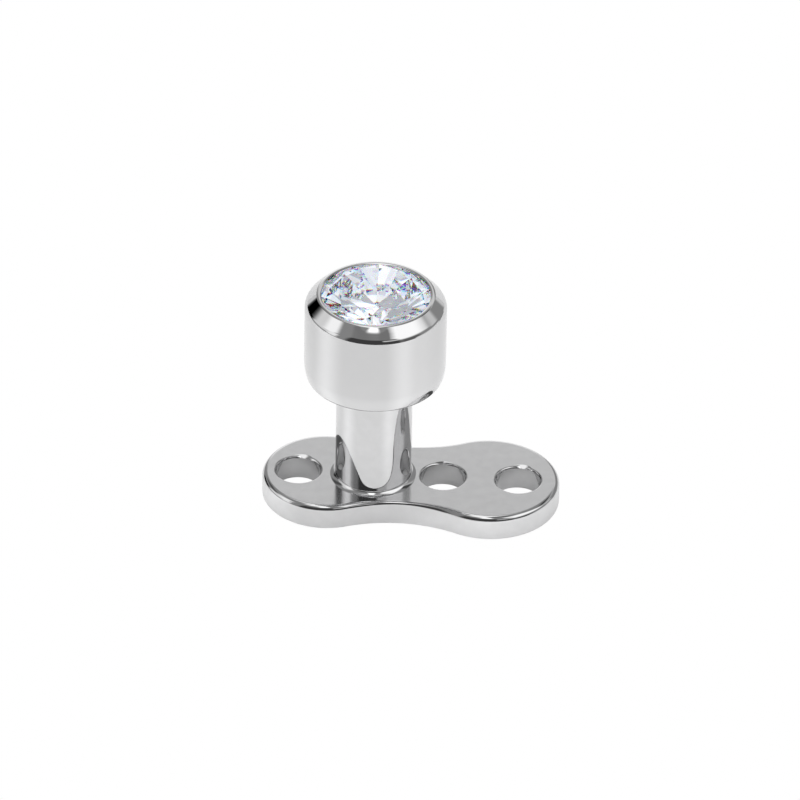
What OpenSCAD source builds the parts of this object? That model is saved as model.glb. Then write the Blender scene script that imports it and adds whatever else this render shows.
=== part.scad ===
// Dermal anchor: a figure-eight foot plate with a short post, and a round top set with a clear
// brilliant-cut stone. The origin is on the post's axis, at the underside of the foot plate.
// +Z points up along the post, and +X points along the plate to its longer end, the toe.

/* [Foot plate] */
// Thickness of the plate
plate_t = 0.56; // [0.40:0.02:0.80]
// Radius of the rounding along the plate's upper edge
plate_edge_r = 0.12; // [0.03:0.01:0.15]
// Radius of the rounding along the plate's lower edge
plate_foot_r = 0.06; // [0.03:0.01:0.10]
// Distance from the post's axis to the centre of the heel lobe
heel_x = 1.00; // [0.90:0.05:1.20]
// Radius of the heel lobe, which has one hole
heel_r = 1.38; // [1.30:0.01:1.50]
// Distance from the post's axis to the centre of the toe lobe
toe_x = 2.50; // [2.30:0.01:2.80]
// Radius of the toe lobe, which has two holes
toe_r = 1.50; // [1.40:0.01:1.70]
// Half of the plate's width at its waist
waist_half = 1.07; // [1.00:0.01:1.20]

/* [Holes] */
// Diameter of each hole
hole_d = 0.97; // [0.80:0.01:1.00]
// Distance from the post's axis to the heel hole
heel_hole_x = 1.61; // [1.55:0.01:1.70]
// Distance from the post's axis to the nearer toe hole
near_hole_x = 1.50; // [1.48:0.01:1.60]
// Distance from the post's axis to the farther toe hole
far_hole_x = 3.11; // [3.00:0.01:3.20]
// Radius of the rounding at a hole's upper end
hole_edge_r = 0.045; // [0.010:0.005:0.050]
// Radius of the rounding at a hole's lower end
hole_foot_r = 0.03; // [0.01:0.01:0.05]

/* [Post] */
// Diameter of the post
post_d = 1.63; // [1.50:0.01:1.70]
// Height of the post above the plate
post_rise = 2.54; // [2.30:0.01:3.50]
// Radius of the fillet where the post meets the plate
post_fillet_r = 0.10; // [0.05:0.01:0.15]
// Diameter of the blind bore that holds the top's stud
bore_d = 1.20; // [1.18:0.01:1.25]
// Depth of the blind bore
bore_depth = 2.20; // [2.10:0.05:2.25]

/* [Top] */
// Diameter of the top
top_d = 3.02; // [2.90:0.02:3.50]
// Height of the top, from its underside to its rim
top_h = 2.05; // [1.80:0.01:2.50]
// Outer radius of the flat rim round the stone
rim_r = 1.25; // [1.24:0.01:1.30]
// Inner radius of the rim, where its lip holds the stone
lip_r = 1.16; // [1.150:0.005:1.170]
// Thickness of the lip at its inner edge
lip_t = 0.02; // [0.01:0.01:0.04]
// Radius of the rounding between the bevel and the side
shoulder_r = 0.22; // [0.05:0.01:0.25]
// Radius of the rounding along the top's lower edge
top_edge_r = 0.09; // [0.03:0.01:0.12]
// Height over which the side leans in towards the lower edge
taper_h = 0.39; // [0.20:0.01:0.50]
// Lean of that lowest stretch of the side, in degrees
taper_lean = 9; // [1:1:12]
// Diameter of the stud under the top
stud_d = 1.15; // [1.05:0.01:1.15]
// Length of the stud
stud_l = 2.00; // [1.50:0.05:2.00]
// Gap between the top's underside and the end of the post
seat_gap = 0.02; // [0.01:0.01:0.05]

/* [Stone] */
// Diameter of the stone at its girdle
stone_d = 2.40; // [2.38:0.01:2.42]
// Width of the table between opposite corners, as a share of the diameter
table_ratio = 0.68; // [0.50:0.01:0.70]
// Height of the crown, from the girdle to the table
crown_h = 0.23; // [0.20:0.01:0.40]
// Reach of the star facets from the table's edge to the girdle, as a share
star_ratio = 0.50; // [0.35:0.01:0.65]
// Thickness of the girdle
girdle_t = 0.05; // [0.03:0.01:0.08]
// Depth of the pavilion, from the girdle to its point
pavilion_h = 0.95; // [0.90:0.01:1.05]
// Reach of the lower girdle facets from the girdle to the point, as a share
lower_ratio = 0.78; // [0.60:0.01:0.85]
// Turn of the stone about its axis, in degrees
stone_turn = 22.5; // [0:0.5:45]

/* [Hidden] */
$fn = 96;

// Overlap that keeps a cutter's end clear of the face it opens
over = 0.1;
post_r = post_d / 2;
hole_r = hole_d / 2;
bore_r = bore_d / 2;
top_r = top_d / 2;
stud_r = stud_d / 2;
stone_r = stone_d / 2;

// The waist's side is an arc that touches both lobes: its centre (waist_x, waist_y) lies
// waist_r beyond the waist's edge and one radius sum from each lobe's centre. Subtracting the
// two distance equations gives waist_x as a straight line in waist_r, and putting that line
// back gives a quadratic in waist_r.
lobe_span = heel_x + toe_x;
line_a = (pow(lobe_span, 2) + pow(heel_r, 2) - pow(toe_r, 2)) / (2 * lobe_span);
line_b = (heel_r - toe_r) / lobe_span;
quad_a = pow(line_b, 2);
quad_b = 2 * (line_a * line_b + waist_half - heel_r);
quad_c = pow(line_a, 2) + pow(waist_half, 2) - pow(heel_r, 2);
waist_r = -2 * quad_c / (quad_b - sqrt(pow(quad_b, 2) - 4 * quad_a * quad_c));
waist_x = line_a + line_b * waist_r - heel_x;
waist_y = waist_half + waist_r;
heel_turn = atan2(waist_y, waist_x + heel_x);
toe_turn = atan2(waist_y, toe_x - waist_x);
heel_touch = [-heel_x + heel_r * cos(heel_turn), heel_r * sin(heel_turn)];
toe_touch = [toe_x - toe_r * cos(toe_turn), toe_r * sin(toe_turn)];

post_top = plate_t + post_rise;
top_z = post_top + seat_gap;
rim_z = top_z + top_h;
// The bevel falls at 45 degrees from the rim to the side
bevel = top_r - rim_r;
stone_gap = 0.02;
pocket_r = stone_r + stone_gap;
table_r = stone_r * table_ratio;
crown_slope = crown_h / (stone_r - table_r);
table_flat = table_r * cos(22.5);
kite_r = table_flat + star_ratio * (stone_r - table_flat);
kite_z = crown_h - (kite_r * cos(22.5) - table_r) * crown_slope;
// The crown is steepest along the ridges from the kites' outer corners to the girdle, and the
// lip's underside clears it there
ridge_slope = kite_z / (stone_r - kite_r);
lip_under = stone_gap + (stone_r - lip_r) * ridge_slope;
girdle_z = rim_z - lip_t - lip_under;
ledge_r = 0.80;
pavilion_slope = pavilion_h / stone_r;
ledge_z = girdle_z - girdle_t - stone_gap * 2 - (pocket_r - ledge_r) * pavilion_slope;
pocket_z = girdle_z - girdle_t - pavilion_h - 0.10;
stud_edge = 0.15;

metal = [0.80, 0.81, 0.83];
metal_top = [0.86, 0.87, 0.89];
gem = [0.80, 0.90, 1.00];

// Half section of a disc of radius r and height h, with its edges rounded by radii upper and lower
module disc_section(r, h, upper, lower) {
    polygon([[0, 0], [r - lower, 0], [r, lower], [r, h - upper], [r - upper, h], [0, h]]);
    translate([r - lower, lower]) circle(r = lower);
    translate([r - upper, h - upper]) circle(r = upper);
}

// Section of what an outer edge rounding takes away, in the corner that ends at x = r, y = 0
module flare_section(r, e) {
    difference() {
        translate([r - over, -e]) square([e + over, e + over]);
        translate([r + e, -e]) circle(r = e);
        translate([r + e, -e]) square([e + over, e + 2 * over]);
    }
}

// Cutter for a round opening of radius r through the plate, flared by a rounding at each end
module flared_cutter(r, upper, lower) {
    translate([0, 0, -over]) cylinder(r = r, h = plate_t + 2 * over);
    translate([0, 0, plate_t]) rotate_extrude() flare_section(r, upper);
    mirror([0, 0, 1]) rotate_extrude() flare_section(r, lower);
}

// One lobe of the plate, centred at x: a disc less the wedge that the waist fills, which opens
// from the disc's centre through the points where the waist touches it. A plain hub overlaps
// the waist, so that the two join.
module lobe(x, r, touch) {
    reach = 3 * (touch - [x, 0]);
    translate([x, 0, 0])
        cylinder(r = r - 2 * plate_edge_r, h = plate_t);
    difference() {
        translate([x, 0, 0])
            rotate_extrude()
                disc_section(r, plate_t, plate_edge_r, plate_foot_r);
        translate([x, 0, -over])
            linear_extrude(plate_t + 2 * over)
                polygon([[0, 0], [reach[0], -reach[1]], [reach[0], reach[1]]]);
    }
}

// The middle of the plate, between the two lobes' centres, narrowed by an arc on each side
module waist() {
    difference() {
        linear_extrude(plate_t)
            polygon([[-heel_x, 0], heel_touch, toe_touch, [toe_x, 0],
                     [toe_touch[0], -toe_touch[1]], [heel_touch[0], -heel_touch[1]]]);
        for (side = [-1, 1])
            translate([waist_x, side * waist_y, 0])
                flared_cutter(waist_r, plate_edge_r, plate_foot_r);
    }
}

module anchor_base() {
    color(metal)
    difference() {
        union() {
            lobe(-heel_x, heel_r, heel_touch);
            lobe(toe_x, toe_r, toe_touch);
            waist();
            cylinder(r = post_r, h = post_top);
            translate([0, 0, plate_t]) rotate_extrude() difference() {
                translate([post_r - over, -over])
                    square([post_fillet_r + over, post_fillet_r + over]);
                translate([post_r + post_fillet_r, post_fillet_r]) circle(r = post_fillet_r);
            }
        }
        for (x = [-heel_hole_x, near_hole_x, far_hole_x])
            translate([x, 0, 0]) flared_cutter(hole_r, hole_edge_r, hole_foot_r);
        translate([0, 0, post_top - bore_depth]) cylinder(r = bore_r, h = bore_depth + over);
    }
}

// Half section of the top's outside: lower edge, leaning stretch, side, rounded shoulder,
// bevel and flat rim. The lower edge's arc touches the leaning stretch.
module top_section() {
    shoulder_z = rim_z - bevel - shoulder_r * tan(22.5);
    lean_z = top_z + top_edge_r * (1 - sin(taper_lean));
    lean_r = top_r - (top_z + taper_h - lean_z) * tan(taper_lean);
    edge_r = lean_r - top_edge_r * cos(taper_lean);
    difference() {
        polygon([[0, top_z], [edge_r, top_z], [lean_r, lean_z], [top_r, top_z + taper_h],
                 [top_r, rim_z - bevel], [rim_r, rim_z], [0, rim_z]]);
        difference() {
            translate([top_r - shoulder_r * (1 - cos(45)), shoulder_z])
                square([shoulder_r, shoulder_r]);
            translate([top_r - shoulder_r, shoulder_z]) circle(r = shoulder_r);
        }
    }
    translate([edge_r, top_z + top_edge_r]) circle(r = top_edge_r);
}

module bezel_cup() {
    color(metal_top)
    difference() {
        union() {
            rotate_extrude() top_section();
            translate([0, 0, top_z - stud_l + stud_edge])
                cylinder(r = stud_r, h = stud_l - stud_edge + over);
            translate([0, 0, top_z - stud_l])
                cylinder(r1 = stud_r - stud_edge, r2 = stud_r, h = stud_edge);
        }
        rotate_extrude()
            polygon([[0, rim_z + over], [lip_r, rim_z + over], [lip_r, girdle_z + lip_under],
                     [pocket_r, girdle_z + stone_gap], [pocket_r, girdle_z - girdle_t - stone_gap],
                     [ledge_r, ledge_z], [0, pocket_z]]);
    }
}

function on_circle(r, a, z) = [r * cos(a), r * sin(a), z];

// Round brilliant with its girdle's upper edge at z = 0. The eight main facets of the crown
// and of the pavilion are planes, and the corners beside them are worked out to lie on them.
module stone() {
    lower_r = stone_r * (1 - lower_ratio);
    lower_z = lower_r * cos(22.5) * pavilion_slope - girdle_t - pavilion_h;
    points = concat(
        [for (k = [0:7]) on_circle(table_r, 45 * k, crown_h)],
        [for (k = [0:7]) on_circle(kite_r, 45 * k + 22.5, kite_z)],
        [for (k = [0:15]) on_circle(stone_r, 22.5 * k, 0)],
        [for (k = [0:15]) on_circle(stone_r, 22.5 * k, -girdle_t)],
        [for (k = [0:7]) on_circle(lower_r, 45 * k + 22.5, lower_z)],
        [[0, 0, -girdle_t - pavilion_h]]
    );
    kite = 8;
    upper = 16;
    under = 32;
    lower = 48;
    tip = 56;
    faces = concat(
        [[for (k = [7:-1:0]) k]],
        [for (k = [0:7]) [k, (k + 1) % 8, kite + k]],
        [for (k = [0:7]) [k, kite + k, upper + 2 * k, kite + (k + 7) % 8]],
        [for (k = [0:7]) [kite + k, upper + 2 * k + 1, upper + 2 * k]],
        [for (k = [0:7]) [kite + k, upper + (2 * k + 2) % 16, upper + 2 * k + 1]],
        [for (k = [0:15]) [upper + k, upper + (k + 1) % 16, under + (k + 1) % 16, under + k]],
        [for (k = [0:7]) [lower + k, under + 2 * k, under + 2 * k + 1]],
        [for (k = [0:7]) [lower + k, under + 2 * k + 1, under + (2 * k + 2) % 16]],
        [for (k = [0:7]) [tip, lower + (k + 7) % 8, under + 2 * k, lower + k]]
    );
    color(gem)
    translate([0, 0, girdle_z]) rotate([0, 0, stone_turn]) polyhedron(points, faces);
}

anchor_base();
bezel_cup();
stone();
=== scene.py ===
"""Dermal anchor: polished foot plate, post and bezel top with a clear brilliant-cut stone."""

import math

import bpy
from mathutils import Matrix, Vector
from mathutils.geometry import delaunay_2d_cdt


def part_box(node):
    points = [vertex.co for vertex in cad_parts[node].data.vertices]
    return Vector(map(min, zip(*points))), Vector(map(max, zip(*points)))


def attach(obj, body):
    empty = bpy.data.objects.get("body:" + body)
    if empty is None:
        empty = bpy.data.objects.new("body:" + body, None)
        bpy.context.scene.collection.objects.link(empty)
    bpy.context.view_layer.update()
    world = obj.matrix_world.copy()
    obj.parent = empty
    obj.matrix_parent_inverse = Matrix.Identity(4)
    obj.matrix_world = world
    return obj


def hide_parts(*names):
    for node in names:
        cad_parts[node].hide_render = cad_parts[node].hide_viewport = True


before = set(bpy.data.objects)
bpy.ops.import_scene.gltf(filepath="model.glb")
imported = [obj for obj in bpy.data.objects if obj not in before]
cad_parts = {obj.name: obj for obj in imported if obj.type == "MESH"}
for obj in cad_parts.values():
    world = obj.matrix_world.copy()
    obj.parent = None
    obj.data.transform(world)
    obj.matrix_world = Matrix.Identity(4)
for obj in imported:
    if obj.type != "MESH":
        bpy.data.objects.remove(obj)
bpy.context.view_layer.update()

MM = 0.001

# Foot plate, in millimetres; the post's axis is x = y = 0 and the underside is z = 0
PLATE_TOP = 0.56
# Radii of its rounded edges: upper, upper along the waist, and lower
PLATE_EDGE = 0.12
WAIST_EDGE = 0.07
PLATE_FOOT = 0.06
# Its two lobes, and half of its width at the waist
HEEL_X, HEEL_R = -1.00, 1.38
TOE_X, TOE_R = 2.50, 1.50
WAIST_HALF = 1.07
# Holes: centres, radius of the upper mouths, and radii of the rounded upper and lower ends
HOLES = (-1.61, 1.50, 3.11)
MOUTH_R = 0.53
HOLE_EDGE = 0.045
HOLE_FOOT = 0.03
# The back of each hole's mouth is worn: middle in degrees from the front, and how much wider
WORN = ((168.0, 0.045), (183.0, 0.02), (168.0, 0.045))
WORN_WIDE = 34.0
# Angle of a worn spot's normal at its upper and its lower edge, in degrees
WORN_FACE = (114.0, 122.0)

# Post with its fillet and blind bore
POST_R = 0.815
POST_TOP = 3.10
# Its foot flares out: from and to angle of the surface's normal above level, and radius
FLARE = ((0.0, 47.0, 0.045), (47.0, 67.0, 0.28), (67.0, 90.0, 0.05))
BORE_R = 0.60
BORE_DEPTH = 2.20
POST_EDGE = 0.02

# Round top; the node's own box gives the lower end of its stud
CUP_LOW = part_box("bezel_cup")[0].z / MM
RIM_Z = 5.17
CUP_R = 1.51
CUP_H = 2.05
CUP_Z = RIM_Z - CUP_H
# Its lower end: radius of the rounded edge, and radius and height of the curve above that
CUP_EDGE = 0.09
CUP_CURVE_R = 1.15
CUP_CURVE_H = 0.39
STUD_R = 0.575
STUD_EDGE = 0.15
# Radius of the rounding under the bevel; outer radius and half the arc of the domed rim
SHOULDER = 0.22
RIM_R = 1.25
RIM_TILT = 25.0
# Lip: inner radius, and how far the rim and the lip's underside are above the girdle
LIP_R = 1.16
LIP_H = 0.072
LIP_UNDER = 0.052
# The bevel leans in more towards the rim in one place: middle and half width in degrees from
# the front, share of the bevel below it, and lean at the rim in degrees
BURNISH = (1.0, 22.0, 0.45, 10.0)

# Stone: radius, heights of its three parts, and width of the table and reach of the star and
# lower girdle facets as shares; then its turn in degrees and where its girdle's upper edge is
STONE_R = 1.20
CROWN = 0.23
GIRDLE = 0.05
PAVILION = 0.95
TABLE = 0.68
STAR = 0.50
LOWER = 0.78
STONE_TURN = 22.5
STONE_Z = RIM_Z - LIP_H
# A facet counts as part of the back if its middle is this much below the girdle
TOUCH = 0.001
# Half of the turn from one main facet to the next, in radians
HALF_MAIN = math.radians(22.5)

# Pocket: room round the stone and under its tip, and inner radius of the ledge
STONE_GAP = 0.02
TIP_ROOM = 0.10
POCKET_R = STONE_R + STONE_GAP
LEDGE_R = 0.80

# Steps round a full circle, along a small rounding, along the side's curve and the bevel, and
# along each lobe and each side of the waist
ROUND = 256
EDGE_STEPS = 8
CURVE_STEPS = 12
BEVEL_STEPS = 12
LOBE_STEPS = 110
WAIST_STEPS = 36


def arc(r, z, size, start, end, steps=EDGE_STEPS):
    """Strip of a turned profile along an arc round (r, z), angles in degrees from outward."""
    strip = []
    for i in range(steps + 1):
        a = math.radians(start + (end - start) * i / steps)
        c, s = math.cos(a), math.sin(a)
        strip.append((r + size * c, z + size * s, c, s))
    return strip


def line(r0, z0, r1, z1):
    """Straight strip of a turned profile; its outside is to the right of the way it runs."""
    length = math.hypot(r1 - r0, z1 - z0)
    nr, nz = (z1 - z0) / length, (r0 - r1) / length
    return [(r0, z0, nr, nz), (r1, z1, nr, nz)]


class Surface:
    """A closed mesh built face by face, with the true surface normal at each corner."""

    def __init__(self):
        self.points = []
        self.index = {}
        self.faces = []
        self.normals = []

    def vertex(self, p):
        """Index of the point p, in millimetres; faces that meet there share it."""
        key = tuple(round(v, 5) for v in p)
        if key not in self.index:
            self.index[key] = len(self.points)
            self.points.append(tuple(v * MM for v in p))
        return self.index[key]

    def face(self, corners):
        """corners holds (point, normal) pairs in turn; a corner that repeats is dropped."""
        ids, normals = [], []
        for p, n in corners:
            i = self.vertex(p)
            if i not in ids:
                ids.append(i)
                normals.append(n)
        if len(ids) > 2:
            self.faces.append(ids)
            self.normals += normals

    def turned(self, strips, x=0.0):
        """The surface that profile strips sweep round a vertical axis at (x, 0)."""
        ring = [2 * math.pi * i / ROUND for i in range(ROUND + 1)]
        for strip in strips:
            for (r0, z0, nr0, nz0), (r1, z1, nr1, nz1) in zip(strip, strip[1:]):
                for a, b in zip(ring, ring[1:]):
                    ca, sa, cb, sb = math.cos(a), math.sin(a), math.cos(b), math.sin(b)
                    self.face([
                        ((x + r0 * ca, r0 * sa, z0), (nr0 * ca, nr0 * sa, nz0)),
                        ((x + r0 * cb, r0 * sb, z0), (nr0 * cb, nr0 * sb, nz0)),
                        ((x + r1 * cb, r1 * sb, z1), (nr1 * cb, nr1 * sb, nz1)),
                        ((x + r1 * ca, r1 * sa, z1), (nr1 * ca, nr1 * sa, nz1)),
                    ])

    def swept(self, outline, section):
        """The surface that section(point), a list of profile strips, sweeps along a closed
        outline of points that start with (x, y, nx, ny)."""
        loop = []
        for point in outline + outline[:1]:
            x, y, nx, ny = point[:4]
            loop.append([
                [((x + o * nx, y + o * ny, z), (h * nx, h * ny, v)) for o, z, h, v in strip]
                for strip in section(point)])
        for here, there in zip(loop, loop[1:]):
            for a, b in zip(here, there):
                for i in range(len(a) - 1):
                    self.face([a[i], b[i], b[i + 1], a[i + 1]])

    def flat(self, outer, inners, z, up):
        """The flat face between an outer loop and inner loops of (x, y), as triangles."""
        points, edges = [], []
        for loop in [outer] + inners:
            start = len(points)
            points += [Vector(p) for p in loop]
            edges += [(start + i, start + (i + 1) % len(loop)) for i in range(len(loop))]
        made, _, triangles, origins, _, _ = delaunay_2d_cdt(points, edges, [], 0, 1e-6)
        places = [points[o[0]] if o else v for v, o in zip(made, origins)]
        normal = (0, 0, 1 if up else -1)
        for triangle in triangles:
            corners = [places[i] for i in triangle]
            middle = sum(corners, Vector((0, 0))) / 3
            if not inside(middle, outer) or any(inside(middle, hole) for hole in inners):
                continue
            area = (corners[1] - corners[0]).cross(corners[2] - corners[0])
            if (area > 0) != up:
                corners.reverse()
            self.face([((c.x, c.y, z), normal) for c in corners])

    def finish(self, name, material):
        """The piece that all the faces make up."""
        mesh = bpy.data.meshes.new(name)
        mesh.from_pydata(self.points, [], self.faces)
        mesh.polygons.foreach_set("use_smooth", [True] * len(mesh.polygons))
        mesh.normals_split_custom_set([Vector(n).normalized() for n in self.normals])
        mesh.materials.append(material)
        piece = bpy.data.objects.new(name, mesh)
        bpy.context.scene.collection.objects.link(piece)
        return piece


def inside(p, loop):
    """Whether a point lies inside a closed loop of points."""
    hit = False
    for (ax, ay), (bx, by) in zip(loop, loop[1:] + loop[:1]):
        if (ay > p.y) != (by > p.y) and p.x < ax + (p.y - ay) * (bx - ax) / (by - ay):
            hit = not hit
    return hit


def circle(x, r):
    """Points of a circle of radius r round (x, 0)."""
    turns = [2 * math.pi * i / ROUND for i in range(ROUND)]
    return [(x + r * math.cos(a), r * math.sin(a)) for a in turns]


def ring_round(x, middle, wide):
    """Points round a vertical axis at x with outward normals, and a share that is 1 at the
    azimuth middle, counted from the front, and falls to 0 at wide on both sides of it."""
    points = []
    for i in range(ROUND):
        a = 2 * math.pi * i / ROUND
        off = abs((math.degrees(a) + 90 - middle + 180) % 360 - 180) / wide
        share = 0.5 + 0.5 * math.cos(math.pi * min(1.0, off))
        points.append((x, 0.0, math.cos(a), math.sin(a), share))
    return points


def plate_outline():
    """The figure-eight outline, two lobes and two waist arcs, as points with outward normals
    and the radius of the upper edge, which is less rounded along the waist."""
    # A waist arc touches both lobes, so its centre (cx, cy) is a sum of radii from each of their
    # centres; its radius solves the quadratic that this gives
    span = TOE_X - HEEL_X
    a = (span ** 2 + HEEL_R ** 2 - TOE_R ** 2) / (2 * span)
    b = (HEEL_R - TOE_R) / span
    qb = 2 * (a * b + WAIST_HALF - HEEL_R)
    qc = a ** 2 + WAIST_HALF ** 2 - HEEL_R ** 2
    radius = -2 * qc / (qb - math.sqrt(qb ** 2 - 4 * b ** 2 * qc))
    cx, cy = HEEL_X + a + b * radius, WAIST_HALF + radius
    heel = math.atan2(cy, cx - HEEL_X)
    toe = math.atan2(cy, cx - TOE_X)
    points = []

    def add(x, y, r, start, end, count, side):
        for i in range(count):
            t = start + (end - start) * i / count
            c, s = math.cos(t), math.sin(t)
            share = math.sin(math.pi * i / count) ** 2 if side < 0 else 0.0
            edge = PLATE_EDGE + (WAIST_EDGE - PLATE_EDGE) * share
            points.append((x + r * c, y + r * s, side * c, side * s, edge))

    add(HEEL_X, 0, HEEL_R, heel, 2 * math.pi - heel, LOBE_STEPS, 1)
    add(cx, -cy, radius, math.pi - heel, math.pi - toe, WAIST_STEPS, -1)
    add(TOE_X, 0, TOE_R, -toe, toe, LOBE_STEPS, 1)
    add(cx, cy, radius, toe - math.pi, heel - math.pi, WAIST_STEPS, -1)
    return points


def worn_edge(share, wear):
    """Rounded upper edge of a hole; where share is 1 it is a facet that is wider by wear."""
    strip = []
    for i in range(EDGE_STEPS + 1):
        t = i / EDGE_STEPS
        rounded = 90 + 90 * t
        worn = WORN_FACE[0] + (WORN_FACE[1] - WORN_FACE[0]) * t
        a = math.radians(rounded + (worn - rounded) * share)
        round_in = HOLE_EDGE * math.sin(math.pi / 2 * t)
        round_down = HOLE_EDGE * (1 - math.cos(math.pi / 2 * t))
        inward = round_in + ((HOLE_EDGE + wear) * t - wear - round_in) * share
        down = round_down + (HOLE_EDGE * t - round_down) * share
        strip.append((MOUTH_R - inward, PLATE_TOP - down, math.cos(a), math.sin(a)))
    return strip


def flared_foot():
    """Hollow strip from the plate up to the post's wall."""
    strip = [(0.0, 0.0, 1.0, 0.0)]
    for start, end, size in FLARE:
        for i in range(EDGE_STEPS):
            r, z, h, v = strip[-1]
            a = math.radians(start + (end - start) * (i + 1) / EDGE_STEPS)
            c, s = math.cos(a), math.sin(a)
            strip.append((r + size * (h - c), z - size * (s - v), c, s))
    drop = strip[-1][1]
    return [(POST_R + r, PLATE_TOP + z - drop, h, v) for r, z, h, v in reversed(strip)]


def build_base(material):
    """Foot plate and post in one piece."""
    s = Surface()
    outline = plate_outline()
    f = PLATE_FOOT
    s.swept(outline, lambda point: [
        arc(-f, f, f, -90, 0),
        line(0, f, 0, PLATE_TOP - point[4]),
        arc(-point[4], PLATE_TOP - point[4], point[4], 0, 90),
    ])
    foot = flared_foot()
    hole = MOUTH_R - HOLE_EDGE
    under = hole + HOLE_FOOT
    upper_rim = [(x - e * nx, y - e * ny) for x, y, nx, ny, e in outline]
    lower_rim = [(x - f * nx, y - f * ny) for x, y, nx, ny, e in outline]
    mouths = []
    for x, (middle, wear) in zip(HOLES, WORN):
        ring = ring_round(x, middle, WORN_WIDE)
        s.swept(ring, lambda point: [worn_edge(point[4], wear)])
        mouths.append([(x + (MOUTH_R + wear * share) * nx, (MOUTH_R + wear * share) * ny)
                       for _, _, nx, ny, share in ring])
    s.flat(upper_rim, mouths + [circle(0, foot[0][0])], PLATE_TOP, True)
    s.flat(lower_rim, [circle(x, under) for x in HOLES], 0.0, False)
    for x in HOLES:
        s.turned([
            line(hole, PLATE_TOP - HOLE_EDGE, hole, HOLE_FOOT),
            arc(under, HOLE_FOOT, HOLE_FOOT, 180, 270),
        ], x)
    t = POST_EDGE
    s.turned([
        foot,
        line(POST_R, foot[-1][1], POST_R, POST_TOP - t),
        arc(POST_R - t, POST_TOP - t, t, 0, 90),
        line(POST_R - t, POST_TOP, BORE_R, POST_TOP),
        line(BORE_R, POST_TOP, BORE_R, POST_TOP - BORE_DEPTH),
        line(BORE_R, POST_TOP - BORE_DEPTH, 0, POST_TOP - BORE_DEPTH),
    ])
    return s.finish("base_polished", material)


def lower_side():
    """Lower end of the top's side: strips of its rounded edge and of the curve above that."""
    curve_z = CUP_Z + CUP_CURVE_H
    middle_r = CUP_R - CUP_CURVE_R
    inner = CUP_CURVE_R - CUP_EDGE
    lean = math.asin((CUP_CURVE_H - CUP_EDGE) / inner)
    edge = arc(middle_r + inner * math.cos(lean), curve_z - inner * math.sin(lean), CUP_EDGE,
               -90, -math.degrees(lean))
    curve = arc(middle_r, curve_z, CUP_CURVE_R, -math.degrees(lean), 0, CURVE_STEPS)
    return edge, curve


def domed_rim():
    """Strip of the rim, from its outer edge, which lies on the bevel, in to the lip."""
    tilt = math.radians(RIM_TILT)
    dome = (RIM_R - LIP_R) / (2 * math.sin(tilt) - 1 + math.cos(tilt))
    return arc(LIP_R + dome * math.sin(tilt), RIM_Z - dome, dome, 90 - RIM_TILT, 90 + RIM_TILT)


def burnished_bevel(share, start, rim):
    """Strips of the bevel, from its lower edge start, and of the rim. Where share is 1 the
    bevel leans in more from a certain height on, and the rim's outer edge sinks with it."""
    _, _, below, lean_in = BURNISH
    end = rim[0]
    length = math.hypot(end[0] - start[0], end[1] - start[1])
    bevel_up = math.radians(45)
    bevel = []
    for i in range(BEVEL_STEPS + 1):
        t = i / BEVEL_STEPS
        rise = max(0.0, (t - below) / (1 - below))
        lean = math.radians(lean_in * share * rise)
        sunk = math.tan(lean) * rise * (1 - below) * length / 2 * math.cos(bevel_up)
        r = start[0] + (end[0] - start[0]) * t
        z = start[1] + (end[1] - start[1]) * t
        up = bevel_up + lean
        bevel.append((r - sunk, z - sunk, math.cos(up), math.sin(up)))
    drops = [sunk * (1 - i / (len(rim) - 1)) for i in range(len(rim))]
    return [bevel, [(r - d, z - d, h, v) for (r, z, h, v), d in zip(rim, drops)]]


def build_top(material):
    """Round top with its bevel, rim, pocket and stud."""
    s = Surface()
    slope = PAVILION / STONE_R
    under_girdle = STONE_Z - GIRDLE - STONE_GAP
    ledge_z = under_girdle - STONE_GAP - (POCKET_R - LEDGE_R) * slope
    tip_z = STONE_Z - GIRDLE - PAVILION - TIP_ROOM
    edge, curve = lower_side()
    rim = domed_rim()
    # The shoulder turns by 45 degrees, and its ends are a tangent of half that from the corner
    shoulder_z = RIM_Z - (CUP_R - RIM_R) - SHOULDER * math.tan(math.radians(45 / 2))
    shoulder = arc(CUP_R - SHOULDER, shoulder_z, SHOULDER, 0, 45, 2 * EDGE_STEPS)
    s.turned([
        line(0, CUP_LOW, STUD_R - STUD_EDGE, CUP_LOW),
        line(STUD_R - STUD_EDGE, CUP_LOW, STUD_R, CUP_LOW + STUD_EDGE),
        line(STUD_R, CUP_LOW + STUD_EDGE, STUD_R, CUP_Z),
        line(STUD_R, CUP_Z, edge[0][0], CUP_Z),
        edge,
        curve,
        line(CUP_R, curve[-1][1], CUP_R, shoulder_z),
        shoulder,
        line(LIP_R, rim[-1][1], LIP_R, STONE_Z + LIP_UNDER),
        line(LIP_R, STONE_Z + LIP_UNDER, POCKET_R, STONE_Z + STONE_GAP),
        line(POCKET_R, STONE_Z + STONE_GAP, POCKET_R, under_girdle),
        line(POCKET_R, under_girdle, LEDGE_R, ledge_z),
        line(LEDGE_R, ledge_z, 0, tip_z),
    ])
    middle, wide, _, _ = BURNISH
    s.swept(ring_round(0.0, middle, wide),
            lambda point: burnished_bevel(point[4], shoulder[-1], rim))
    return s.finish("top_polished", material)


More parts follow.
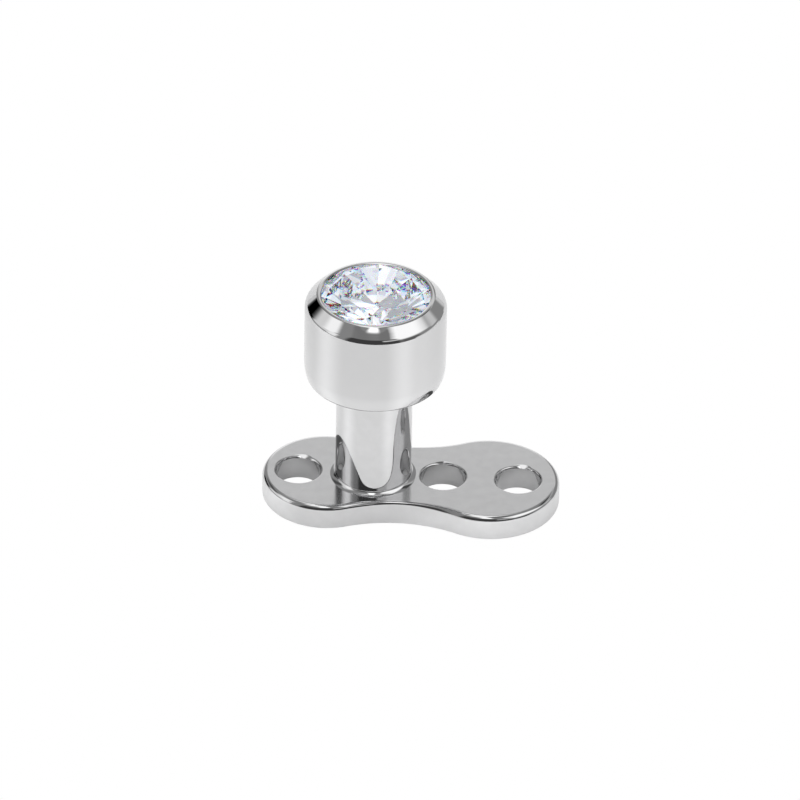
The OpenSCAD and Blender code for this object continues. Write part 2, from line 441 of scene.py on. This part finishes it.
def brilliant_points():
    """Corners of the stone: 8 round the table, 8 between the star and kite facets, 16 at each
    edge of the girdle, 8 on the lower girdle facets, and the tip."""
    table_r = STONE_R * TABLE
    crown_slope = CROWN / (STONE_R - table_r)
    table_flat = table_r * math.cos(HALF_MAIN)
    kite_r = table_flat + STAR * (STONE_R - table_flat)
    kite_z = CROWN - (kite_r * math.cos(HALF_MAIN) - table_r) * crown_slope
    slope = PAVILION / STONE_R
    lower_r = STONE_R * (1 - LOWER)
    lower_z = lower_r * math.cos(HALF_MAIN) * slope - GIRDLE - PAVILION

    def place(r, eighth, z):
        a = math.radians(STONE_TURN + 45 * eighth)
        return r * math.cos(a) * MM, r * math.sin(a) * MM, (STONE_Z + z) * MM

    points = [place(table_r, k, CROWN) for k in range(8)]
    points += [place(kite_r, k + 0.5, kite_z) for k in range(8)]
    points += [place(STONE_R, k / 2, 0) for k in range(16)]
    points += [place(STONE_R, k / 2, -GIRDLE) for k in range(16)]
    points += [place(lower_r, k + 0.5, lower_z) for k in range(8)]
    points.append(place(0, 0, -GIRDLE - PAVILION))
    return points


def brilliant_facets():
    """Table, then for each eighth the star, kite, upper girdle, girdle, lower girdle and main
    facets, as indices of brilliant_points."""
    kite, upper, under, lower, tip = 8, 16, 32, 48, 56
    facets = [list(range(8))]
    for k in range(8):
        before, after = (k + 7) % 8, (k + 1) % 8
        g0, g1, g2 = 2 * k, 2 * k + 1, (2 * k + 2) % 16
        facets += [
            [k, kite + k, after],
            [k, kite + before, upper + g0, kite + k],
            [kite + k, upper + g0, upper + g1],
            [kite + k, upper + g1, upper + g2],
            [upper + g0, under + g0, under + g1, upper + g1],
            [upper + g1, under + g1, under + g2, upper + g2],
            [lower + k, under + g1, under + g0],
            [lower + k, under + g2, under + g1],
            [tip, lower + k, under + g0, lower + before],
        ]
    return facets


def build_stone(material, silver):
    """Round brilliant. The facets under the girdle are silvered, so that they throw the light
    back up."""
    mesh = bpy.data.meshes.new("brilliant")
    mesh.from_pydata(brilliant_points(), [], brilliant_facets())
    mesh.materials.append(material)
    mesh.materials.append(silver)
    for facet in mesh.polygons:
        facet.material_index = 1 if facet.center.z < (STONE_Z - GIRDLE - TOUCH) * MM else 0
    piece = bpy.data.objects.new("brilliant", mesh)
    bpy.context.scene.collection.objects.link(piece)
    return piece


class Nodes:
    """Short way to add nodes to a tree and join them."""

    def __init__(self, tree):
        self.tree = tree
        tree.nodes.clear()

    def add(self, kind, inputs=None, **settings):
        """A new node with its settings; each input is a number, a colour or an output."""
        node = self.tree.nodes.new(kind)
        for key, value in settings.items():
            setattr(node, key, value)
        for key, value in (inputs or {}).items():
            self.put(node.inputs[key], value)
        return node

    def put(self, socket, value):
        if isinstance(value, bpy.types.NodeSocket):
            self.tree.links.new(value, socket)
        else:
            socket.default_value = value

    def math(self, operation, a, b=0.0, c=0.0):
        return self.add("ShaderNodeMath", {0: a, 1: b, 2: c}, operation=operation).outputs[0]

    def ramp(self, value, low, high, to_low=0.0, to_high=1.0):
        """Smooth step of value from low to high."""
        node = self.add("ShaderNodeMapRange", {
            "Value": value, "From Min": low, "From Max": high,
            "To Min": to_low, "To Max": to_high}, interpolation_type="SMOOTHSTEP")
        return node.outputs["Result"]

    def azimuth(self, x, y):
        """Direction of (x, y) in degrees from the front, more to the right."""
        return self.math("DEGREES", self.math("ARCTAN2", x, self.math("MULTIPLY", y, -1.0)))

    def apart(self, turn, azimuth):
        """Distance between two azimuths in degrees, the short way round."""
        off = self.math("WRAP", self.math("SUBTRACT", turn, azimuth), 180.0, -180.0)
        return self.math("ABSOLUTE", off)


def material(name):
    """A new material and its empty node tree."""
    made = bpy.data.materials.new(name)
    made.use_nodes = True
    return made, Nodes(made.node_tree)


WHITE = (1.0, 1.0, 1.0, 1.0)

# Titanium of the base and of the top: colour, and how far its tone varies either way
BASE_COLOR, BASE_MOTTLE = (0.64, 0.64, 0.645), 0.02
TOP_COLOR, TOP_MOTTLE = (0.67, 0.67, 0.675), 0.005
# Roughness and the shares of it that the haze varies between, and how much rougher the base is
# where the normal's height is in this range, which is where it faces straight up
POLISH = 0.03
HAZE = (0.7, 1.4)
SATIN = 0.12
UPWARD = (0.95, 1.0)
# Noise: scales of the haze, the polishing lines and the mottling, and the range that is used
HAZE_SCALE = 900.0
LINE_SCALE = 700.0
MOTTLE_SCALE = 5000.0
NOISE_LOW, NOISE_HIGH = 0.3, 0.7
# Polishing lines: how the noise is squeezed across them, so that they run round the turned
# top and straight across the base, and their strength and depth in metres
TURNED_LINES = (1.0, 1.0, 60.0)
STRAIGHT_LINES = (60.0, 1.5, 1.0)
LINE_STRENGTH = 0.02
LINE_DEPTH = 0.00001


def polished_metal(name, color, mottle, squeeze, satin=0.0):
    """Mirror-polished titanium: faint mottling and haze, and fine polishing lines. Faces that
    look straight up are rougher by satin."""
    made, n = material(name)
    texture = n.add("ShaderNodeTexCoord").outputs
    place = texture["Object"]
    haze = n.add("ShaderNodeTexNoise", {"Vector": place, "Scale": HAZE_SCALE, "Detail": 4.0})
    rough = n.ramp(haze.outputs["Fac"], NOISE_LOW, NOISE_HIGH, POLISH * HAZE[0], POLISH * HAZE[1])
    facing = n.add("ShaderNodeSeparateXYZ", {0: texture["Normal"]})
    rough = n.math("ADD", rough, n.ramp(facing.outputs["Z"], *UPWARD, 0.0, satin))
    lines = n.add("ShaderNodeMapping", {"Vector": place, "Scale": squeeze})
    scratch = n.add("ShaderNodeTexNoise", {
        "Vector": lines.outputs["Vector"], "Scale": LINE_SCALE, "Detail": 2.0})
    bump = n.add("ShaderNodeBump", {
        "Height": scratch.outputs["Fac"], "Strength": LINE_STRENGTH, "Distance": LINE_DEPTH})
    spots = n.add("ShaderNodeTexNoise", {"Vector": place, "Scale": MOTTLE_SCALE, "Detail": 3.0})
    tone = n.ramp(spots.outputs["Fac"], NOISE_LOW, NOISE_HIGH, 1 - mottle, 1 + mottle)
    tint = n.add("ShaderNodeCombineXYZ", {
        i: n.math("MULTIPLY", tone, channel) for i, channel in enumerate(color)})
    shader = n.add("ShaderNodeBsdfPrincipled", {
        "Base Color": tint.outputs[0], "Metallic": 1.0, "Roughness": rough,
        "Normal": bump.outputs["Normal"]})
    n.add("ShaderNodeOutputMaterial", {"Surface": shader.outputs[0]})
    return made


# Stone: how much it bends light, and shares of the light, by colour, that it bends more or less
INDEX = 1.76
SPLIT = (((0.5, 0.5, 0.5), 0.0), ((0.5, 0.0, 0.0), -0.03), ((0.0, 0.5, 0.0), 0.0),
         ((0.0, 0.0, 0.5), 0.03))
SILVER = (0.93, 0.95, 0.985, 1.0)


def clear_stone(name):
    """Colourless stone: light splits a little by colour where it enters a facet."""
    made, n = material(name)
    split = None
    for color, bend in SPLIT:
        glass = n.add("ShaderNodeBsdfGlass", {
            "Color": (*color, 1.0), "IOR": INDEX + bend, "Roughness": 0.0})
        if split is None:
            split = glass.outputs[0]
        else:
            split = n.add("ShaderNodeAddShader", {0: split, 1: glass.outputs[0]}).outputs[0]
    plain = n.add("ShaderNodeBsdfGlass", {"Color": WHITE, "IOR": INDEX, "Roughness": 0.0})
    side = n.add("ShaderNodeNewGeometry").outputs["Backfacing"]
    both = n.add("ShaderNodeMixShader", {0: side, 1: split, 2: plain.outputs[0]})
    n.add("ShaderNodeOutputMaterial", {"Surface": both.outputs[0]})
    return made


def silver_back(name):
    """Thin bright silver on the back of the stone."""
    made, n = material(name)
    shader = n.add("ShaderNodeBsdfPrincipled", {
        "Base Color": SILVER, "Metallic": 1.0, "Roughness": 0.0})
    n.add("ShaderNodeOutputMaterial", {"Surface": shader.outputs[0]})
    return made


# Floor: half its side and its depth below the plate, in metres; how much light it gives back,
# how much painted light is added close to the plate, which lifts the real shade there, from and
# to what distance in millimetres, and painted pools of light, sectors of the floor's colour made
# brighter, as (azimuth, half width, more)
FLOOR_HALF = 1.0
FLOOR_DROP = 0.000002
FLOOR = 0.69
NEAR_PAINTED_LIGHT = 0.12
NEAR_REACH = (3.0, 8.0)
PAINTED_POOLS = ((-75.0, 32.0, 0.17), (44.0, 28.0, 0.13), (72.0, 50.0, 0.07))


def build_floor():
    """White table: plain white to the camera, and to everything else softly lit matt white, with
    painted pools of light on it and painted light close to the plate.
    """
    mesh = bpy.data.meshes.new("floor")
    corners = ((-1, -1), (1, -1), (1, 1), (-1, 1))
    mesh.from_pydata([(x * FLOOR_HALF, y * FLOOR_HALF, -FLOOR_DROP) for x, y in corners],
                     [], [(0, 1, 2, 3)])
    made, n = material("floor_white")
    place = n.add("ShaderNodeTexCoord").outputs["Object"]
    x, y, _ = n.add("ShaderNodeSeparateXYZ", {0: place}).outputs
    turn = n.azimuth(x, y)
    away = n.math("SQRT", n.math("ADD", n.math("MULTIPLY", x, x), n.math("MULTIPLY", y, y)))
    near, far = (reach * MM for reach in NEAR_REACH)
    # Painted light: the floor's colour is brighter close to the plate, which lifts the real shade
    # there
    shade = n.ramp(away, near, far, FLOOR + NEAR_PAINTED_LIGHT, FLOOR)
    # Painted pools of light: sectors of the floor's colour made brighter by azimuth
    for azimuth, wide, more in PAINTED_POOLS:
        shade = n.math("ADD", shade, n.ramp(n.apart(turn, azimuth), 0.0, wide, more, 0.0))
    grey = n.add("ShaderNodeCombineXYZ", {0: shade, 1: shade, 2: shade})
    matt = n.add("ShaderNodeBsdfDiffuse", {"Color": grey.outputs[0]})
    white = n.add("ShaderNodeEmission", {"Color": WHITE, "Strength": 1.0})
    seen = n.add("ShaderNodeLightPath").outputs["Is Camera Ray"]
    both = n.add("ShaderNodeMixShader", {0: seen, 1: matt.outputs[0], 2: white.outputs[0]})
    n.add("ShaderNodeOutputMaterial", {"Surface": both.outputs[0]})
    mesh.materials.append(made)
    floor = bpy.data.objects.new("floor", mesh)
    bpy.context.scene.collection.objects.link(floor)


# Studio seen in the metal: patches of light and dark, each painted over the ones before it, as
# (azimuth from the camera to the right, half width, elevation, half height, edge, brightness)
SKY = 0.32
PATCHES = (
    # Behind: a low strip, a panel at the height that the plate shows, and a high panel
    (186.0, 13.0, 13.0, 15.0, 7.0, 1.30),
    (174.0, 17.0, 34.0, 4.0, 2.0, 0.82),
    (-172.0, 16.0, 65.0, 13.0, 5.0, 1.35),
    # Left: a tall softbox, its brighter front edge and its lower corner
    (-92.0, 19.0, 31.0, 22.0, 6.0, 0.90),
    (-81.0, 11.0, 39.0, 13.0, 6.0, 1.30),
    (-68.0, 8.0, 19.0, 14.0, 4.0, 1.15),
    # Right: a wide softbox and its dimmer side
    (125.0, 28.0, 42.0, 7.0, 5.0, 0.75),
    (72.0, 34.0, 51.0, 18.0, 9.0, 1.42),
    (112.0, 8.0, 25.0, 5.0, 4.0, 0.75),
    # The dark room in front with a small lamp in it, and dark corners
    (0.0, 43.0, 25.0, 25.0, 5.0, 0.06),
    (30.0, 14.0, 36.0, 5.0, 3.0, 0.80),
    (60.0, 16.0, 13.0, 14.0, 5.0, 0.14),
    (-16.0, 49.0, 56.0, 4.0, 2.0, 0.24),
    (-124.0, 12.0, 8.0, 12.0, 4.0, 0.0),
    (-126.0, 22.0, 38.0, 6.0, 4.0, 0.10),
    (131.0, 23.0, 45.0, 6.0, 3.0, 0.08),
    # The far edge of the table
    (180.0, 44.0, 1.0, 4.0, 2.0, 0.75),
    (92.0, 25.0, 2.0, 5.0, 3.0, 0.88),
    # Overhead: left, front and right
    (-84.0, 85.0, 81.0, 8.0, 4.0, 1.34),
    (-3.0, 15.0, 70.0, 9.0, 6.0, 1.85),
    (115.0, 60.0, 82.0, 9.0, 4.0, 0.17),
)
# What lights the matt floor, more of it from the front, and what the stone's facets send back
FILL = 1.05
FILL_PATCHES = ((0.0, 90.0, 40.0, 30.0, 20.0, 2.0),)
STONE_SKY = 0.95
STONE_PATCHES = (
    (-85.0, 25.0, 45.0, 25.0, 10.0, 0.46),
    (-30.0, 22.0, 50.0, 15.0, 8.0, 1.25),
    (15.0, 14.0, 30.0, 10.0, 6.0, 0.35),
    (45.0, 12.0, 40.0, 20.0, 8.0, 1.15),
    (76.0, 15.0, 45.0, 30.0, 8.0, 0.50),
    (112.0, 17.0, 45.0, 30.0, 8.0, 1.30),
    (180.0, 45.0, 10.0, 20.0, 8.0, 0.65),
)


def paint_sky(n, turn, rise, base, patches):
    """Brightness by direction: each patch is laid over what is there before it."""
    light = base
    for azimuth, wide, elevation, high, edge, value in patches:
        across = n.ramp(n.apart(turn, azimuth), wide - edge, wide + edge, 1.0, 0.0)
        off = n.math("ABSOLUTE", n.math("SUBTRACT", rise, elevation))
        up = n.ramp(off, high - edge, high + edge, 1.0, 0.0)
        share = n.math("MULTIPLY", across, up)
        light = n.math("MULTIPLY_ADD", share, n.math("SUBTRACT", value, light), light)
    return light


def build_world():
    """The studio by kind of ray: in the metal, on the floor, in the stone, and plain white
    behind everything."""
    world = bpy.data.worlds.new("studio")
    bpy.context.scene.world = world
    world.use_nodes = True
    n = Nodes(world.node_tree)
    way = n.add("ShaderNodeSeparateXYZ", {0: n.add("ShaderNodeTexCoord").outputs["Generated"]})
    x, y, z = way.outputs
    turn = n.azimuth(x, y)
    rise = n.math("DEGREES", n.math("ARCSINE", z))
    light = paint_sky(n, turn, rise, SKY, PATCHES)
    path = n.add("ShaderNodeLightPath").outputs
    on_floor = paint_sky(n, turn, rise, FILL, FILL_PATCHES)
    in_stone = paint_sky(n, turn, rise, STONE_SKY, STONE_PATCHES)
    for ray, value in (("Is Diffuse Ray", on_floor),
                       ("Is Transmission Ray", in_stone),
                       ("Is Camera Ray", 1.0)):
        gain = n.math("SUBTRACT", value, light)
        light = n.math("MULTIPLY_ADD", path[ray], gain, light)
    shade = n.add("ShaderNodeBackground", {"Color": WHITE, "Strength": light})
    n.add("ShaderNodeOutputWorld", {"Surface": shade.outputs[0]})


# The photo's view: angles in degrees, distance in millimetres, and where the post's foot is seen
PHOTO_SIZE = 800
VIEW_AZIMUTH, VIEW_ELEVATION, VIEW_ROLL = 3.1, 34.95, 0.92
VIEW_DISTANCE = 180.0
FOOT_HEIGHT = 0.54
PIXELS_PER_MM = 46.62
FOOT_PIXEL = (373.2, 473.6)
# Width of the camera's sensor in millimetres, and the nearest that it sees, in metres
SENSOR = 36.0
NEAREST = 0.001


def build_camera():
    """The photo's camera: a long lens that looks at the post's foot."""
    azimuth, elevation = math.radians(VIEW_AZIMUTH), math.radians(VIEW_ELEVATION)
    back = Vector((math.sin(azimuth) * math.cos(elevation),
                   -math.cos(azimuth) * math.cos(elevation), math.sin(elevation)))
    right = Vector((math.cos(azimuth), math.sin(azimuth), 0))
    up = back.cross(right)
    focal = PIXELS_PER_MM * VIEW_DISTANCE
    yaw = math.atan((FOOT_PIXEL[0] - PHOTO_SIZE / 2) / focal)
    pitch = math.atan((FOOT_PIXEL[1] - PHOTO_SIZE / 2) / focal)
    data = bpy.data.cameras.new("camera")
    data.sensor_width = SENSOR
    data.lens = focal * SENSOR / PHOTO_SIZE
    data.clip_start = NEAREST
    camera = bpy.data.objects.new("camera", data)
    bpy.context.scene.collection.objects.link(camera)
    bpy.context.scene.camera = camera
    place = Matrix.Translation(Vector((0, 0, FOOT_HEIGHT * MM)) + back * VIEW_DISTANCE * MM)
    aim = Matrix((right, up, back)).transposed().to_4x4()
    aim @= Matrix.Rotation(math.radians(VIEW_ROLL), 4, "Z")
    aim @= Matrix.Rotation(yaw, 4, "Y") @ Matrix.Rotation(pitch, 4, "X")
    camera.matrix_world = place @ aim


scene = bpy.context.scene
scene.view_settings.view_transform = "Standard"
# Enough bounces for light to pass through the stone to its silvered back and out again
scene.cycles.max_bounces = 24
scene.cycles.transmission_bounces = 20
scene.cycles.glossy_bounces = 16

base = build_base(
    polished_metal("base_titanium", BASE_COLOR, BASE_MOTTLE, STRAIGHT_LINES, SATIN))
top = build_top(polished_metal("top_titanium", TOP_COLOR, TOP_MOTTLE, TURNED_LINES))
stone = build_stone(clear_stone("stone_clear"), silver_back("stone_silver"))
for piece, node, slot in ((base, "anchor_base", "base_metal"),
                          (top, "bezel_cup", "top_metal"),
                          (stone, "stone", "clear_stone")):
    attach(piece, "root")
    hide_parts(node)

build_floor()
build_world()
build_camera()
